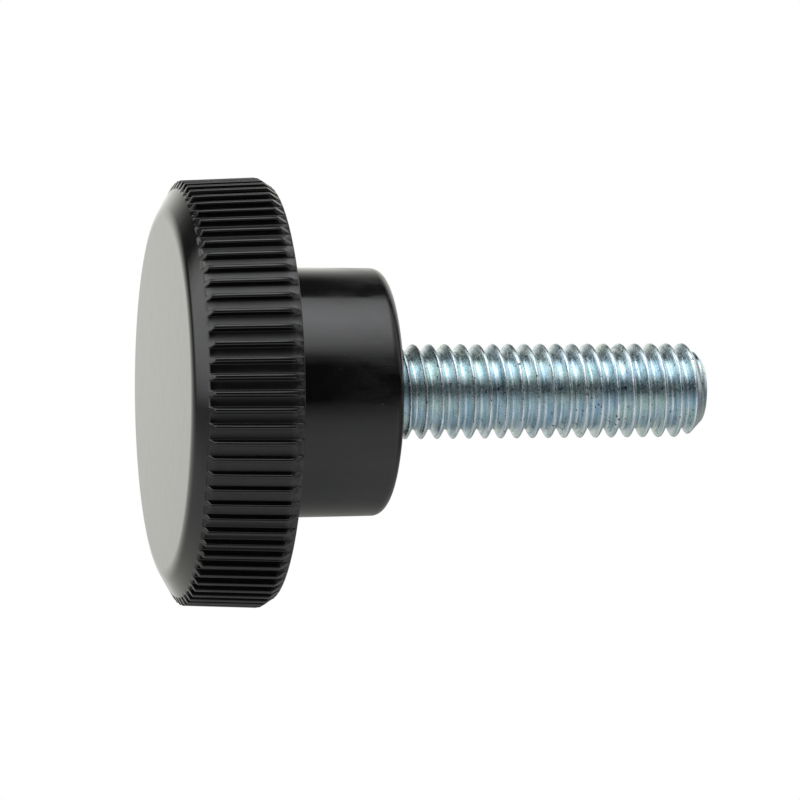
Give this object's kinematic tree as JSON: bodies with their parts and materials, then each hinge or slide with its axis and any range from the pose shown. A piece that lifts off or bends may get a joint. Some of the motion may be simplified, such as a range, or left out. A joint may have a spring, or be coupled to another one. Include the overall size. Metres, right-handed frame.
{
  "type": "knurled knob",
  "caption": "Black moulded knob with a thin round finely knurled head, a plain round hub and a zinc-plated male threaded stud.",
  "frame": {"origin": "centre of the flat front face of the head, which the part stands on", "axes": "+Z along the axis of the knob and stud, from the front face towards the stud's tip"},
  "size_m": [0.026, 0.026, 0.0335],
  "materials": {
    "black_plastic": "glossy black thermoset moulding",
    "zinc_steel": "bright blue zinc plating on a rolled thread"
  },
  "bodies": {
    "root": {"knob_body": "black_plastic", "threaded_stud": "zinc_steel"}
  },
  "joints": []
}
